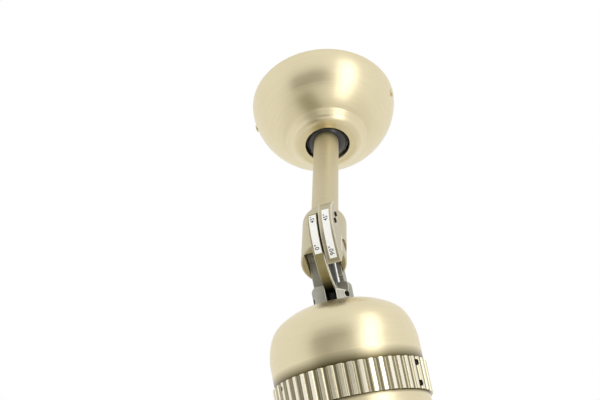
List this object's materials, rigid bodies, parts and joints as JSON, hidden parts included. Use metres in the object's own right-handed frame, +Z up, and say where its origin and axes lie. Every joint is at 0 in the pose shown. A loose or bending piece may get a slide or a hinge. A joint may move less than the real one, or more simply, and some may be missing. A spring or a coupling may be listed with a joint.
{
  "type": "ceiling fan",
  "caption": "Directional ceiling fan: bell canopy, ball-hung rod, tilting knuckle with an angle scale, domed motor with a fluted band, and pitched blades.",
  "frame": {"origin": "centre of the ceiling face, on the bracket's top plate", "axes": "+Z up into the ceiling, X along the knuckle's pivot bolt, the scales face -Y"},
  "size_m": [0.4852, 0.4176, 0.5934],
  "materials": {
    "nickel_finish": "brushed warm nickel",
    "steel_fixings": "plain zinc plated",
    "cast_alloy": "matt cast",
    "black_moulding": "matt black",
    "rubber_liner": "matt",
    "bronze_bush": "turned",
    "scale_label": "printed white film",
    "motor_iron": "laminated",
    "copper_winding": "enamelled",
    "blade_finish": "satin"
  },
  "bodies": {
    "ceiling_mount": {"hanger_bracket": "steel_fixings", "socket_liner": "rubber_liner", "canopy": "nickel_finish", "canopy_screws": "nickel_finish"},
    "rod": {"hanger_ball": "black_moulding", "ball_cross_pin": "steel_fixings", "ball_set_screw": "steel_fixings", "downrod": "nickel_finish", "knuckle_clevis": "nickel_finish", "clevis_set_screws": "steel_fixings", "fixed_quadrant": "cast_alloy", "quadrant_screws": "steel_fixings", "scale_label_fixed": "scale_label", "pivot_bolt": "steel_fixings", "pivot_nut": "steel_fixings"},
    "motor_head": {"tilt_yoke": "cast_alloy", "yoke_bush": "bronze_bush", "scale_label_tilt": "scale_label", "collar_set_screws": "steel_fixings", "motor_stem": "steel_fixings", "upper_dome": "nickel_finish", "fluted_band": "nickel_finish", "band_screws": "steel_fixings", "lower_shell": "nickel_finish", "stator_core": "motor_iron", "stator_winding": "copper_winding", "motor_end_plate": "cast_alloy", "upper_bearing": "steel_fixings", "lower_bearing": "steel_fixings"},
    "rotor": {"rotor_core": "motor_iron", "rotor_shaft": "steel_fixings", "blade_hub": "nickel_finish", "blade_arm_1": "nickel_finish", "blade_arm_2": "nickel_finish", "blade_arm_3": "nickel_finish", "blade_1": "blade_finish", "blade_2": "blade_finish", "blade_3": "blade_finish", "arm_screws": "steel_fixings", "blade_screws": "steel_fixings", "hub_nut": "steel_fixings", "hub_cap": "nickel_finish"}
  },
  "joints": [
    {"name": "hanger_swing", "type": "hinge", "parent": "ceiling_mount", "child": "rod", "pos_m": [0, 0, -0.046], "axis": [1, 0, 0], "range_deg": [-6, 37.5]},
    {"name": "knuckle_tilt", "type": "hinge", "parent": "rod", "child": "motor_head", "pos_m": [0, -0.06769, -0.28458], "axis": [1, 0, 0], "range_deg": [-45, 45]},
    {"name": "rotor_spin", "type": "hinge", "parent": "motor_head", "child": "rotor", "pos_m": [0, -0.06769, -0.28458], "axis": [0, 0.4873, -0.8733], "continuous": true}
  ]
}
